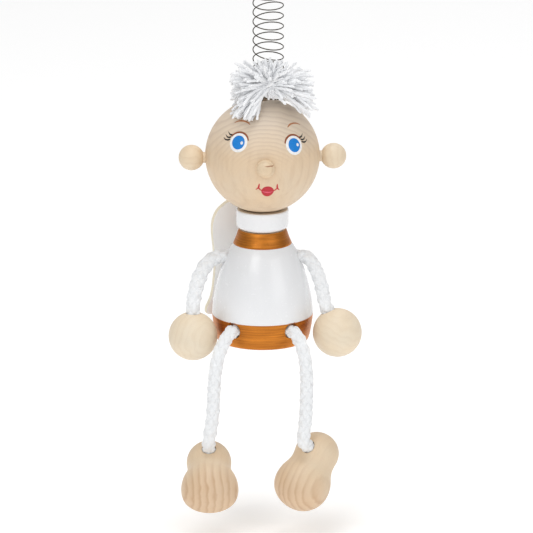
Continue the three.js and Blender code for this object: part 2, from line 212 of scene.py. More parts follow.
def lathe(outline, placement=None, segments=96):
    """A closed solid of revolution about +Z from (radius, height) pairs, from its bottom to its top."""
    points, faces, rings = [], [], []
    for radius, height in outline:
        if radius < 1e-6:
            rings.append([len(points)])
            points.append((0, 0, height))
            continue
        rings.append(list(range(len(points), len(points) + segments)))
        for i in range(segments):
            angle = 2 * math.pi * i / segments
            points.append((radius * math.cos(angle), radius * math.sin(angle), height))
    for low, high in zip(rings, rings[1:]):
        for i in range(segments):
            j = (i + 1) % segments
            if len(low) == 1:
                faces.append((low[0], high[j], high[i]))
            elif len(high) == 1:
                faces.append((low[i], low[j], high[0]))
            else:
                faces.append((low[i], low[j], high[j], high[i]))
    return placed(points, np.eye(4) if placement is None else placement), faces


def arc(radius, height, start, end, steps, inset=0.0):
    """(radius, height) pairs of a round arc: angles are from the equator, in degrees."""
    pairs = []
    for i in range(steps + 1):
        angle = math.radians(start + (end - start) * i / steps)
        across = 0.0 if abs(math.cos(angle)) < 1e-6 else radius * math.cos(angle)
        pairs.append((inset + across, height + radius * math.sin(angle)))
    return pairs


def smooth_curve(controls, steps, closed=False):
    """A centripetal Catmull-Rom curve through control points, with so many steps to each of its spans."""
    controls = np.asarray(controls, float)
    count = len(controls)
    spans = count if closed else count - 1
    points = []
    for i in range(spans):
        if closed:
            p = [controls[(i + k) % count] for k in (-1, 0, 1, 2)]
        else:
            before = controls[i - 1] if i else 2 * controls[0] - controls[1]
            after = controls[i + 2] if i + 2 < count else 2 * controls[-1] - controls[-2]
            p = [before, controls[i], controls[i + 1], after]
        gaps = [max(np.linalg.norm(p[k + 1] - p[k]) ** 0.5, 1e-4) for k in range(3)]
        near = (p[1] - p[0]) / gaps[0] - (p[2] - p[0]) / (gaps[0] + gaps[1]) + (p[2] - p[1]) / gaps[1]
        far = (p[2] - p[1]) / gaps[1] - (p[3] - p[1]) / (gaps[1] + gaps[2]) + (p[3] - p[2]) / gaps[2]
        near, far = near * gaps[1], far * gaps[1]
        for t in np.arange(steps) / steps:
            points.append(
                (2 * t**3 - 3 * t**2 + 1) * p[1]
                + (t**3 - 2 * t**2 + t) * near
                + (3 * t**2 - 2 * t**3) * p[2]
                + (t**3 - t**2) * far
            )
    if not closed:
        points.append(controls[-1])
    return np.array(points)


def frames_along(points):
    """Tangents, and two directions across that turn as little as they can, for each point of a line."""
    tangents = np.gradient(points, axis=0)
    tangents /= np.linalg.norm(tangents, axis=1)[:, None]
    first = np.cross(tangents[0], (0, 1, 0) if abs(tangents[0][1]) < 0.9 else (1, 0, 0))
    across = [unit(first)]
    for before, tangent in zip(tangents, tangents[1:]):
        turn = np.cross(before, tangent)
        size = np.linalg.norm(turn)
        last = across[-1]
        if size > 1e-9:
            axis, angle = turn / size, math.atan2(size, float(np.dot(before, tangent)))
            last = (
                last * math.cos(angle)
                + np.cross(axis, last) * math.sin(angle)
                + axis * np.dot(axis, last) * (1 - math.cos(angle))
            )
        across.append(unit(last - tangent * np.dot(last, tangent)))
    across = np.array(across)
    return tangents, across, np.cross(tangents, across)


def sweep(points, sides, radius):
    """A closed tube along a line. radius(angles, i) gives its radii round the section at the point i."""
    points = np.asarray(points, float)
    _, across, beside = frames_along(points)
    angles = np.arange(sides) * 2 * math.pi / sides
    rings = []
    for i, point in enumerate(points):
        size = radius(angles, i)
        ring = point + (np.cos(angles) * size)[:, None] * across[i]
        rings.append(ring + (np.sin(angles) * size)[:, None] * beside[i])
    return np.vstack(rings), ring_faces(len(points), sides)


def ring_faces(count, sides):
    """The faces of a tube of rings, with its two ends closed."""
    faces = [list(range(sides))[::-1], list(range((count - 1) * sides, count * sides))]
    for i in range(count - 1):
        for j in range(sides):
            k = (j + 1) % sides
            faces.append((i * sides + j, i * sides + k, (i + 1) * sides + k, (i + 1) * sides + j))
    return faces


def wire(points, thickness, sides=8):
    return sweep(points, sides, lambda angles, i: np.full(len(angles), thickness))


def drill(obj, start, end, radius, mouth=0.35, segments=48):
    """Drills a round hole from start, its open end, to end, with its mouth's edge eased."""
    start, end = np.asarray(start, float), np.asarray(end, float)
    length = np.linalg.norm(end - start)
    outside = 3.0
    outline = [
        (0, -outside), (radius + mouth + outside, -outside), (radius + mouth, 0), (radius, mouth),
        (radius, length), (0, length),
    ] if mouth else [(0, -outside), (radius, -outside), (radius, length), (0, length)]
    points, faces = lathe(outline, placing(start, end - start, (0.31, 0.52, 0.79)), segments)
    cutter = solid("cutter", points, faces)
    modifier = obj.modifiers.new("drill", "BOOLEAN")
    modifier.operation, modifier.solver, modifier.object = "DIFFERENCE", "EXACT", cutter
    apply_modifiers(obj)
    bpy.data.objects.remove(cutter)


def faced_outwards(obj):
    bm = bmesh.new()
    bm.from_mesh(obj.data)
    bmesh.ops.recalc_face_normals(bm, faces=bm.faces)
    bm.to_mesh(obj.data)
    bm.free()


def apply_modifiers(obj, sharp=35.0):
    bpy.context.view_layer.update()
    evaluated = obj.evaluated_get(bpy.context.evaluated_depsgraph_get())
    mesh = bpy.data.meshes.new_from_object(evaluated)
    obj.modifiers.clear()
    obj.data = mesh
    mesh.polygons.foreach_set("use_smooth", [True] * len(mesh.polygons))
    mesh.set_sharp_from_angle(angle=math.radians(sharp))


def bevel(obj, width, angle=40.0, segments=3):
    modifier = obj.modifiers.new("ease", "BEVEL")
    modifier.width, modifier.segments = width * MM, segments
    modifier.limit_method, modifier.angle_limit = "ANGLE", math.radians(angle)
    apply_modifiers(obj)


def finished(obj, body, material, nodes=()):
    """Gives a piece its material, the CAD nodes it stands for and the body it rides on."""
    if not obj.data.materials:
        obj.data.materials.append(material)
    if nodes:
        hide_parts(*nodes)
    if body:
        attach(obj, body)
    return obj


# ---- Materials ----


def srgb(red, green, blue):
    """A colour given in the usual 0 to 255 steps, as a shader takes it."""
    shares = (red / 255, green / 255, blue / 255)
    return (*[c / 12.92 if c <= 0.04045 else ((c + 0.055) / 1.055) ** 2.4 for c in shares], 1.0)


class Nodes:
    """A node tree, with a line of code for each node."""

    def __init__(self, tree):
        self.tree = tree

    def node(self, kind, inputs=None, **settings):
        node = self.tree.nodes.new("ShaderNode" + kind)
        for key, value in settings.items():
            setattr(node, key, value)
        for key, value in (inputs or {}).items():
            self.put(node.inputs[key], value)
        return node

    def put(self, socket, value):
        if isinstance(value, bpy.types.NodeSocket):
            self.tree.links.new(value, socket)
        else:
            socket.default_value = value


class Shader(Nodes):
    """A material's nodes, and its principled shader."""

    def __init__(self, name, **settings):
        self.material = bpy.data.materials.new(name)
        self.material.use_nodes = True
        super().__init__(self.material.node_tree)
        self.principled = self.tree.nodes["Principled BSDF"]
        for socket, value in settings.items():
            self.principled.inputs[socket.replace("_", " ")].default_value = value

    def set(self, socket, value):
        self.put(self.principled.inputs[socket], value)

    def coordinates(self, origin=(0, 0, 0), axis=(0, 0, 1), stretch=(1, 1, 1)):
        """Places on the piece in millimetres from a row-frame origin, with Z along an axis."""
        source = self.node("TexCoord").outputs["Object"]
        turn = Vector(axis).to_track_quat("Z", "Y").to_euler()
        mapping = self.node("Mapping", {"Vector": source}, vector_type="TEXTURE")
        mapping.inputs["Location"].default_value = origin
        mapping.inputs["Rotation"].default_value = turn
        mapping.inputs["Scale"].default_value = tuple(MM * s for s in stretch)
        return mapping.outputs[0]

    def math(self, operation, first, second=0.0, clamp=False):
        node = self.node("Math", {0: first, 1: second}, operation=operation, use_clamp=clamp)
        return node.outputs[0]

    def vector(self, operation, first, second=(0, 0, 0)):
        node = self.node("VectorMath", {0: first, 1: second}, operation=operation)
        return node.outputs["Value" if operation == "LENGTH" else "Vector"]

    def noise(self, place, scale, detail=2.0, rough=0.5, colour=False):
        node = self.node("TexNoise", {"Vector": place, "Scale": scale, "Detail": detail, "Roughness": rough})
        return node.outputs["Color" if colour else 0]

    def ramp(self, value, stops):
        node = self.node("ValToRGB", {0: value})
        elements = node.color_ramp.elements
        while len(elements) < len(stops):
            elements.new(0.5)
        for element, (position, shade) in zip(elements, stops):
            element.position = position
            element.color = shade if isinstance(shade, tuple) else (shade, shade, shade, 1.0)
        return node.outputs[0]

    def mix(self, factor, first, second, blend="MIX"):
        node = self.node("Mix", {0: factor, 6: first, 7: second}, data_type="RGBA", blend_type=blend)
        return node.outputs[2]

    def range(self, value, low, high):
        return self.node("MapRange", {"Value": value, "To Min": low, "To Max": high}).outputs[0]

    def bump(self, height, depth, strength=1.0):
        """Relief of so many millimetres."""
        node = self.node("Bump", {"Height": height, "Strength": strength, "Distance": depth * MM})
        self.set("Normal", node.outputs[0])


def wood(name, pith, axis, light, dark, ring=1.0, rings=0.5, fibre=0.4, wobble=2.0, shade=None):
    """Turned wood: rings about the line of its pith, fibres along it, small pores and a thin clear coat."""
    s = Shader(name, Coat_Weight=0.12, Coat_Roughness=0.35)
    s.principled.inputs["IOR"].default_value = 1.5
    place = s.coordinates(row(pith), axis)
    drift = s.vector("SUBTRACT", s.noise(place, 0.045, 3.0, colour=True), (0.5, 0.5, 0.5))
    wandering = s.vector("ADD", place, s.vector("MULTIPLY", drift, (wobble * 2, wobble * 2, wobble)))
    distance = s.vector("LENGTH", s.vector("MULTIPLY", wandering, (1, 1, 0)))
    uneven = s.noise(s.vector("MULTIPLY", wandering, (0.25, 0.25, 0.02)), 1.0, 2.0)
    turns = s.math("ADD", s.math("DIVIDE", distance, ring), s.math("MULTIPLY", uneven, 0.3 + 0.6 * wobble))
    late = s.ramp(s.math("FRACT", turns), [(0.0, 0.55), (0.12, 0.05), (0.55, 0.25), (0.88, 1.0), (1.0, 0.55)])
    share = rings(s) if callable(rings) else rings
    strength = s.math("MULTIPLY", s.range(s.noise(place, 0.09, 2.0), 0.35, 1.0), share)
    fibres = s.noise(s.vector("MULTIPLY", wandering, (5.5, 5.5, 0.28)), 1.0, 3.0, 0.6)
    pores = s.noise(s.vector("MULTIPLY", wandering, (3.4, 3.4, 0.5)), 1.0, 1.0)
    flecks = s.ramp(pores, [(0.0, 0.0), (0.66, 0.0), (0.74, 1.0)])
    patches = s.noise(place, 0.06, 3.0)
    colour = s.mix(s.math("MULTIPLY", late, strength), srgb(*light), srgb(*dark))
    colour = s.mix(s.math("MULTIPLY", fibres, fibre), colour, srgb(*dark))
    colour = s.mix(s.math("MULTIPLY", flecks, 0.25 * fibre), colour, srgb(*[c * 0.72 for c in dark]))
    tint = s.ramp(patches, [(0.3, srgb(255, 246, 232)), (0.7, srgb(248, 252, 255))])
    colour = s.mix(0.55, colour, tint, "MULTIPLY")
    if shade:
        colour = shade(s, colour)
    s.set("Base Color", colour)
    s.set("Roughness", s.range(fibres, 0.42, 0.62))
    relief = s.math("ADD", s.math("MULTIPLY", late, 0.5), fibres)
    s.bump(relief, 0.03, 0.5)
    return s.material


def coat_of_paint(name, colour, rough=(0.18, 0.32), turning=0.02, axis=(0, 0, 1), coat=0.5):
    """Brushed or sprayed gloss paint on turned wood: faint turning lines, a little orange peel and dust."""
    s = Shader(name, Coat_Weight=coat, Coat_Roughness=0.12)
    place = s.coordinates(axis=axis)
    lines = s.noise(s.vector("MULTIPLY", place, (0.05, 0.05, 3.2)), 1.0, 3.0, 0.6)
    peel = s.noise(place, 0.9, 2.0)
    cloud = s.noise(place, 0.05, 3.0)
    deep = srgb(*[c * 0.955 for c in colour])
    s.set("Base Color", s.mix(s.math("MULTIPLY", cloud, 0.8), srgb(*colour), deep))
    s.set("Roughness", s.range(peel, *rough))
    s.bump(s.math("ADD", lines, s.math("MULTIPLY", peel, 0.6)), turning)
    return s.material


def gold_paint(name, light, dark):
    """Metallic paint laid on as the piece turned on the lathe: fine lines round it and small flakes."""
    s = Shader(name, Metallic=0.9, Coat_Weight=0.1, Coat_Roughness=0.25)
    s.principled.inputs["Anisotropic"].default_value = 0.35
    place = s.coordinates()
    lines = s.noise(s.vector("MULTIPLY", place, (0.03, 0.03, 4.6)), 1.0, 4.0, 0.75)
    broad = s.noise(s.vector("MULTIPLY", place, (0.08, 0.08, 0.6)), 1.0, 2.0)
    flakes = s.noise(place, 7.0, 1.0)
    tone = s.math("ADD", s.math("MULTIPLY", lines, 0.7), s.math("MULTIPLY", broad, 0.3))
    colour = s.ramp(tone, [(0.36, srgb(*dark)), (0.6, srgb(*light))])
    sparkle = s.ramp(flakes, [(0.4, srgb(150, 90, 30)), (0.65, srgb(255, 214, 150))])
    colour = s.mix(0.12, colour, sparkle, "OVERLAY")
    s.set("Base Color", colour)
    s.set("Roughness", s.range(lines, 0.26, 0.5))
    s.bump(s.math("ADD", lines, s.math("MULTIPLY", flakes, 0.15)), 0.06)
    return s.material


def cotton(name, light, dark, fine=6.0):
    """Soft white yarn: matt fibres, a little darker in fine and broad patches of noise."""
    s = Shader(name, Roughness=0.92, Sheen_Weight=0.45, Sheen_Roughness=0.5)
    s.principled.inputs["Specular IOR Level"].default_value = 0.25
    place = s.coordinates()
    fibres = s.noise(place, fine, 3.0, 0.65)
    cloud = s.noise(place, 0.16, 2.0)
    colour = s.mix(s.math("MULTIPLY", fibres, 0.7), srgb(*light), srgb(*dark))
    colour = s.mix(s.math("MULTIPLY", cloud, 0.35), colour, srgb(*dark))
    s.set("Base Color", colour)
    s.bump(fibres, 0.12, 0.7)
    return s.material


def drawn_steel(name, light, dark, rough=(0.25, 0.42)):
    """Drawn wire: fine scratches and a little tarnish."""
    s = Shader(name, Metallic=1.0)
    place = s.coordinates()
    tarnish = s.noise(place, 0.5, 4.0)
    scratches = s.noise(place, 9.0, 2.0)
    s.set("Base Color", s.mix(tarnish, srgb(*light), srgb(*dark)))
    s.set("Roughness", s.range(scratches, *rough))
    s.bump(scratches, 0.01)
    return s.material


def face_paint(name, colour, rough=(0.22, 0.38), vary=0.86):
    """A small area of hand paint, a little uneven in depth."""
    s = Shader(name, Coat_Weight=0.12, Coat_Roughness=0.25)
    place = s.coordinates()
    pool = s.noise(place, 0.8, 2.0)
    s.set("Base Color", s.mix(pool, srgb(*colour), srgb(*[c * vary for c in colour])))
    s.set("Roughness", s.range(s.noise(place, 3.0), *rough))
    s.bump(pool, 0.01)
    return s.material


def paper(name, colour, glow):
    """Seamless studio paper, lit a little from behind."""
    s = Shader(name, Roughness=0.9, Emission_Strength=glow)
    s.principled.inputs["Specular IOR Level"].default_value = 0.0
    s.principled.inputs["Emission Color"].default_value = srgb(*colour)
    s.set("Base Color", srgb(*colour))
    return s.material


# ---- The camera ----

AIM = Vector((1.75, 0.0, -182.4)) * MM
ELEVATION = math.radians(15.5)
DISTANCE = 2.0

camera_data = bpy.data.cameras.new("camera")
camera_data.sensor_width, camera_data.lens = 36.0, 308.0
camera_data.clip_end = 50.0
camera = new_object("camera", camera_data)
back = Vector((0.0, -math.cos(ELEVATION), math.sin(ELEVATION)))
camera.location = AIM + back * DISTANCE
camera.rotation_mode = "QUATERNION"
camera.rotation_quaternion = (-back).to_track_quat("-Z", "Y")
bpy.context.scene.camera = camera

# ---- The cords ----

COTTON_CORD = cotton("cotton_cord", (252, 252, 252), (226, 230, 234), 2.2)

CORD_STEP = 0.25  # between the rings of a cord
CORD_SIDES = 72
BRAID_STRANDS = 4  # each way round
BRAID_PITCH = 5.0  # a strand's crossings are half of it apart
BRAID_RELIEF = 0.85
CORD_SWELL = {"arm_right": 0.45, "arm_left": 0.15}  # how much fatter a slack braid is half-way along
FIRST_LENGTH = {"arm": 36.2, "leg": 36.5}  # of the piece that leaves the torso


def braid_height(angles, along):
    """The surface of a plain braid: 0 in its grooves and 1 on its crowns."""
    turn = BRAID_STRANDS * angles / (2 * math.pi)
    climb = along / BRAID_PITCH
    first, second = turn + climb, turn - climb
    over = (np.floor(first) + np.floor(second)) % 2 == 0
    first, second = first - np.floor(first) - 0.5, second - np.floor(second) - 0.5
    across, length = np.where(over, first, second), np.where(over, second, first)
    crown = np.sqrt(np.clip(1 - (1.96 * across) ** 2, 0, 1)) * np.cos(1.25 * length * 2)
    plies = 0.1 * np.cos(across * 6 * math.pi) * np.clip(crown, 0, 1)
    return np.clip(crown, 0, 1) + plies


class Limb:
    """A limb's cord: its line, how far along it each point lies, and where its route's points are."""

    def __init__(self, name, route, bends):
        self.name, self.bends = name, bends
        fine = 60
        line = smooth_curve(route, fine)
        reach = np.concatenate([[0], np.cumsum(np.linalg.norm(np.diff(line, axis=0), axis=1))])
        self.at = [reach[i * fine] for i in range(len(route))]
        self.total = reach[-1]
        self.count = int(round(self.total / CORD_STEP))
        self.along = np.linspace(0, self.total, self.count + 1)
        self.points = np.stack([np.interp(self.along, reach, line[:, k]) for k in range(3)], axis=1)
        self.tangents, self.across, self.beside = frames_along(self.points)
        self.seed = sum(map(ord, name))

    def index(self, distance):
        return int(round(distance / self.total * self.count))

    def place(self, distance, offset=0.0):
        i = self.index(distance)
        return self.points[i] + self.tangents[i] * offset

    def braid(self, start, end, name):
        """The cord between two distances, and the line that it follows."""
        angles = np.arange(CORD_SIDES) * 2 * math.pi / CORD_SIDES
        chosen = range(self.index(start), self.index(end) + 1)
        rings = []
        for i in chosen:
            s = self.along[i]
            slack = 0.05 * math.sin(0.7 * s + self.seed) + 0.04 * math.sin(1.9 * s + 2 * self.seed)
            slack += CORD_SWELL.get(self.name, 0.0) * math.sin(math.pi * s / self.total) ** 2
            crowns = BRAID_RELIEF * braid_height(angles + 0.012 * s, s)
            radius = CORD_RADIUS - BRAID_RELIEF + 0.08 + crowns + slack
            ring = (np.cos(angles) * radius)[:, None] * self.across[i]
            rings.append(self.points[i] + ring + (np.sin(angles) * radius)[:, None] * self.beside[i])
        obj = solid(name, np.vstack(rings), ring_faces(len(rings), CORD_SIDES), 60.0)
        return obj, [row(self.points[i]) for i in chosen]


limbs = {name: Limb(name, data["route"], data["bends"]) for name, data in LIMBS.items()}


def blended(piece, limb, bend, bodies, half):
    """Bakes a length of cord's placing into its points; the places so far either side of one of its bends, and
    the two bodies it lies between, are looked up but not used.
    """
    at = limb.at[limb.bends[bend]]
    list(bodies)
    row(limb.place(at, -half))
    row(limb.place(at, half))
    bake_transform(piece)


def limb_cord(kind, side):
    """A limb's whole cord, in one piece for each pair of bodies that it joins."""
    name = f"{kind}_{side}"
    limb = limbs[name]
    cuts = [0.0, FIRST_LENGTH[kind]]
    if kind == "arm":
        joined = [(f"{name}_upper", f"{name}_lower"), (f"{name}_lower", f"hand_{side}")]
        nodes = [("cord_a", "cord_b"), ("cord_end",)]
        halves = [3.6, 2.4]
        words = ("cord", "wrist")
    else:
        cuts.append((limb.at[limb.bends[1]] + limb.at[limb.bends[2]]) / 2)
        chain = [f"{name}_{joint}" for joint in ("hip", "thigh", "shin", "ankle")]
        joined = list(zip(chain, chain[1:]))
        nodes = [("cord_a",), ("cord_b", "cord_c"), ("cord_end",)]
        halves = [3.6, 3.5, 2.4]
        words = ("cord", "knee", "ankle")
    cuts.append(limb.total)
    pieces = []
    for i, word in enumerate(words):
        piece, line = limb.braid(cuts[i], cuts[i + 1], f"{name}_{word}")
        piece.data.materials.append(COTTON_CORD)
        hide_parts(*[f"{name}_{node}" for node in nodes[i]])
        blended(piece, limb, i, joined[i], halves[i])
        pieces.append((piece, line))
    first, path = pieces[0]
    row(LIMBS[name]["route"][1])
    [p for p, _ in pieces[1:]]
    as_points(path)


for limb_name in LIMBS:
    limb_cord(*limb_name.split("_"))

# ---- More materials ----

TURNED_WHITE = coat_of_paint("white_paint", (243, 244, 246))
GOLD = gold_paint("gold_paint", (216, 138, 50), (160, 94, 32))
STEEL_WIRE = drawn_steel("spring_steel", (104, 98, 86), (62, 55, 44))
ZINC = drawn_steel("eye_steel", (205, 206, 205), (160, 160, 158), (0.2, 0.4))

# ---- The hanger and the spring ----


def screw_eye():
    """One wire: a threaded shank that runs up into an open loop."""
    radius, ring, shank = EYE["wire"], EYE["ring"], EYE["shank"]
    middle = -TORSO_TOP + radius - ring
    foot = middle - ring - shank
    turn = 1.4
    bottom = math.radians(-90)
    sweep_angle = math.radians(352)
    straight = [(0, 0, foot + i * 0.1) for i in range(int(shank / 0.1) + 1)]
    loop = []
    for i in range(1, 97):
        angle = bottom + sweep_angle * i / 96
        loop.append((ring * math.cos(angle), 0.35 * i / 96, middle + ring * math.sin(angle)))
    line = np.array(straight + loop)

    def size(angles, i):
        height = line[i][2] - foot
        base = radius * min(1.0, 0.25 + height / 3) if i < len(straight) else radius
        if i >= len(straight) or height > shank - 5:
            return np.full(len(angles), base)
        ridge = (angles / (2 * math.pi) - height / turn) % 1.0
        return base * 0.86 + 0.28 * np.clip(1 - np.abs(ridge - 0.5) * 5, 0, 1)

    return solid("screw_eye_wire", *sweep(line, 24, size), 50.0)


finished(screw_eye(), "hanger", ZINC, ["screw_eye"])


def handle_ball():
    radius, centre = HANDLE["radius"], HANDLE["centre"]
    obj = solid("handle_ball_turned", *lathe(arc(radius, centre, -90, 90, 64)))
    eye_end = -TORSO_TOP + EYE["wire"] - 2 * EYE["ring"] - EYE["shank"] - 0.3
    drill(obj, (0, 0, centre + radius), (0, 0, eye_end), HANDLE["eye_hole"], 0.2, 32)
    bottom = centre - radius
    drill(obj, (0, 0, bottom), (0, 0, bottom + HANDLE["tail_depth"]), HANDLE["tail_hole"], 0.3, 32)
    return obj


HANDLE_WOOD = wood("handle_wood", (9, 0, 137.5), (0.2, 0.1, 1), (231, 212, 186), (199, 166, 130), 1.9, 0.5)
finished(handle_ball(), "hanger", HANDLE_WOOD, ["handle_ball"])


def coil_line():
    """The spring's wire from its bottom tail to where it bends at the handle ball."""
    per_turn = 32
    count = int(round((COIL["top"] - COIL["bottom"]) / COIL["pitch"] * per_turn))
    coil = []
    for i in range(count + 1):
        angle = -2 * math.pi * i / per_turn
        height = COIL["bottom"] + COIL["pitch"] * i / per_turn
        x, y = COIL["radius"] * math.cos(angle), COIL["radius"] * math.sin(angle)
        most = COIL_DIP["most"]
        side = min(most, max(-most, (height - COIL_DIP["level"]) * COIL_DIP["side"]))
        coil.append((COIL["x"] + x, y, height + COIL_DIP["front"] * y + side * x))
    (low_x, low_y, _), (high_x, high_y, _) = coil[0], coil[-1]
    below = [
        (0, 0, TAIL["bottom"]), (0, 0, 56.6), (0, 0, 57.9), (1, 0.5, 58.9), (low_x * 0.6, low_y + 2.4, 59.3),
    ]
    top = COIL["top"]
    above = [(high_x * 0.5, high_y * 0.5 + 1, top + 1.5), (0, 0, top + 3), (0, 0, TAIL["pivot"])]
    run_in = smooth_curve(below + coil[:2], 8)[:-9]
    run_out = smooth_curve(coil[-2:] + above, 8)[9:]
    return np.vstack([run_in, coil, run_out])


coil_wire = solid("spring_wire", *wire(coil_line(), COIL["wire"], 10), 60.0)
finished(coil_wire, None, STEEL_WIRE, ["spring"])
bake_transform(coil_wire)

tail_line = [(0, 0, TAIL["pivot"] + (TAIL["top"] - TAIL["pivot"]) * i / 12) for i in range(13)]
tail_wire = solid("spring_tail_wire", *wire(tail_line, COIL["wire"], 10), 60.0)
finished(tail_wire, "spring_top", STEEL_WIRE, ["spring_tail"])

# ---- The head ----

HEAD_CENTRE = np.array((0, 0, HEAD["centre"]))
YAW = math.radians(HEAD["yaw"])
FACING = np.array((math.sin(YAW), -math.cos(YAW), 0))  # the way the nose points
LEFTWARD = np.array((math.cos(YAW), math.sin(YAW), 0))


def up_the_head(s):
    """How high on the head: 0 at its middle and below, 1 at its crown."""
    height = s.node("SeparateXYZ", {0: s.coordinates(row(HEAD_CENTRE))}).outputs["Z"]
    return s.math("DIVIDE", height, HEAD["radius"], clamp=True)


def forehead_rings(s):
    """The rings show on the forehead, and hardly at all below it."""
    return s.ramp(up_the_head(s), [(0.05, 0.04), (0.4, 0.5), (0.8, 1.0)])


def cheek_streaks_and_painted_crown_light(s, colour):
    """The wood is greyer and paler towards the crown, partly its own tone and partly painted light that lifts
    the hair's shadow on the forehead; below it has soft upright streaks.
    """
    share = s.ramp(up_the_head(s), [(0.15, 0.0), (0.85, 1.0)])
    place = s.coordinates(axis=(0.12, 0, 1))
    streaks = s.noise(s.vector("MULTIPLY", place, (0.45, 0.3, 0.05)), 1.0, 3.0, 0.6)
    streaks = s.ramp(streaks, [(0.45, 0.0), (0.7, 0.45)])
    colour = s.mix(s.math("MULTIPLY", streaks, s.math("SUBTRACT", 1.0, share)), colour, srgb(206, 178, 146))
    # Painted light: a pale grey mixed in towards the crown, against the shade under the hair.
    return s.mix(s.math("MULTIPLY", share, 0.6), colour, srgb(224, 212, 198))


HEAD_WOOD = wood(
    "head_wood", (0, 0, HEAD["centre"] - 8), tuple(FACING), (233, 212, 184), (176, 144, 114), 1.55,
    forehead_rings, 0.3, 0.4, cheek_streaks_and_painted_crown_light,
)


def head():
    radius = HEAD["radius"]
    seat = COLLAR["height"] + 0.3 - HEAD["centre"]
    angle = math.degrees(math.asin(seat / radius))
    rim = radius * math.cos(math.radians(angle))
    outline = [(0, seat), (rim - 0.5, seat), *arc(radius, 0, angle + 1.5, 90, 84)]
    obj = solid("head_turned", *lathe(outline, placing(HEAD_CENTRE), 160))
    top = HEAD["centre"] + radius
    drill(obj, (0, 0, top), (0, 0, top - CROWN["length"] - 1.5), CROWN["radius"] + PEG_FIT, 0.2)
    drill(obj, (0, 0, HEAD["centre"] + seat), (0, 0, DOWEL["top"] + 0.3), DOWEL["radius"] + PEG_FIT, 0.0)
    for side in (-1, 1):
        axis = LEFTWARD * side
        centre = HEAD_CENTRE - (0, 0, EAR["drop"])
        depth = EAR["reach"] - EAR["radius"] - EAR["depth"] - 0.8
        drill(obj, centre + axis * radius, centre + axis * depth, EAR["tenon"] + TENON_FIT, 0.12)
    outwards = nose_axis()
    depth = NOSE["reach"] - NOSE["depth"] - 1
    drill(obj, HEAD_CENTRE + outwards * radius, HEAD_CENTRE + outwards * depth, NOSE["tenon"] + TENON_FIT, 0.0)
    return obj


def nose_axis():
    rise = math.radians(NOSE["rise"])
    return FACING * math.cos(rise) + np.array((0, 0, math.sin(rise)))


finished(head(), "figure", HEAD_WOOD, ["head"])


def ear(side, name):
    radius, depth = EAR["radius"], EAR["depth"]
    neck = math.degrees(math.acos(EAR["tenon"] / radius))
    outline = [
        (0, -radius - depth), (EAR["tenon"] - 0.4, -radius - depth), (EAR["tenon"], -radius - depth + 0.4),
        *arc(radius, 0, -neck, 90, 48),
    ]
    centre = HEAD_CENTRE + LEFTWARD * side * EAR["reach"] - (0, 0, EAR["drop"])
    return solid(name, *lathe(outline, placing(centre, LEFTWARD * side, (0, 0, 1)), 72))


for side, word, pith in ((1, "left", (26, 30, 40)), (-1, "right", (-40, 26, 24))):
    grain = (0.3 * side, 1, 0.4)
    ear_wood = wood(f"ear_{word}_wood", pith, grain, (238, 221, 195), (208, 180, 146), 2.2, 0.3)
    finished(ear(side, f"ear_{word}_turned"), "figure", ear_wood, [f"ear_{word}"])


def nose():
    radius, tenon = NOSE["radius"], NOSE["tenon"]

    def back_face(across):
        return math.sqrt((HEAD["radius"] + 0.02) ** 2 - across**2) - NOSE["reach"]

    seat = [(r, back_face(r)) for r in np.linspace(tenon, radius - 0.15, 6)]
    outline = [(0, -NOSE["depth"]), (tenon, -NOSE["depth"]), *seat, *arc(radius, 0, -4, 90, 32)]
    centre = HEAD_CENTRE + nose_axis() * NOSE["reach"]
    return solid("nose_turned", *lathe(outline, placing(centre, nose_axis(), (0, 0, 1)), 72))


def pith_fleck(s, colour):
    """A short brown fleck of pith, high on the nose's front."""
    tip = HEAD_CENTRE + nose_axis() * (NOSE["reach"] + NOSE["radius"])
    place = s.coordinates(row(tip + (1.5, 0, 1.8)))
    drift = s.vector("MULTIPLY", s.noise(place, 0.9, 2.0, colour=True), (0.6, 0.0, 0.5))
    bent = s.vector("SUBTRACT", s.vector("ADD", place, drift), (0.3, 0, 0.25))
    size = s.vector("LENGTH", s.vector("MULTIPLY", bent, (0.4, 0, 3.0)))
    return s.mix(s.ramp(size, [(0.55, 0.85), (1.0, 0.0)]), colour, srgb(150, 96, 62))


NOSE_WOOD = wood(
    "nose_wood", (2, -20, 28), (0.1, 0.2, 1), (232, 211, 181), (200, 170, 136), 1.5, 0.45, 0.35, 1.0,
    pith_fleck,
)
finished(nose(), "figure", NOSE_WOOD, ["nose"])


def peg(name, radius, start, end, bore=0.0):
    """A short dowel with eased ends."""
    length = float(np.linalg.norm(np.subtract(end, start)))
    ease = 0.4
    outline = [
        (0, 0), (radius - ease, 0), (radius, ease), (radius, length - ease), (radius - ease, length),
        (0, length),
    ]
    obj = solid(name, *lathe(outline, placing(start, np.subtract(end, start), (0.3, 0.9, 0.1)), 48))
    if bore:
        drill(obj, np.add(end, (0, 0, 0.1)), start, bore, 0.15, 24)
    return obj


crown_top = (0, 0, HEAD["centre"] + HEAD["radius"] - 1)
crown_foot = (0, 0, crown_top[2] - CROWN["length"])
DOWEL_WOOD = wood("dowel_wood", (5, 4, 0), (0.02, 0.05, 1), (229, 204, 168), (194, 158, 118), 1.3, 0.5)
crown_peg = peg("crown_peg_turned", CROWN["radius"], crown_foot, crown_top, CROWN["bore"])
finished(crown_peg, "figure", DOWEL_WOOD, ["crown_peg"])
neck = peg("neck_dowel_turned", DOWEL["radius"], (0, 0, DOWEL["bottom"]), (0, 0, DOWEL["top"]))
finished(neck, "figure", DOWEL_WOOD, ["neck_dowel"])

# ---- The painted face ----

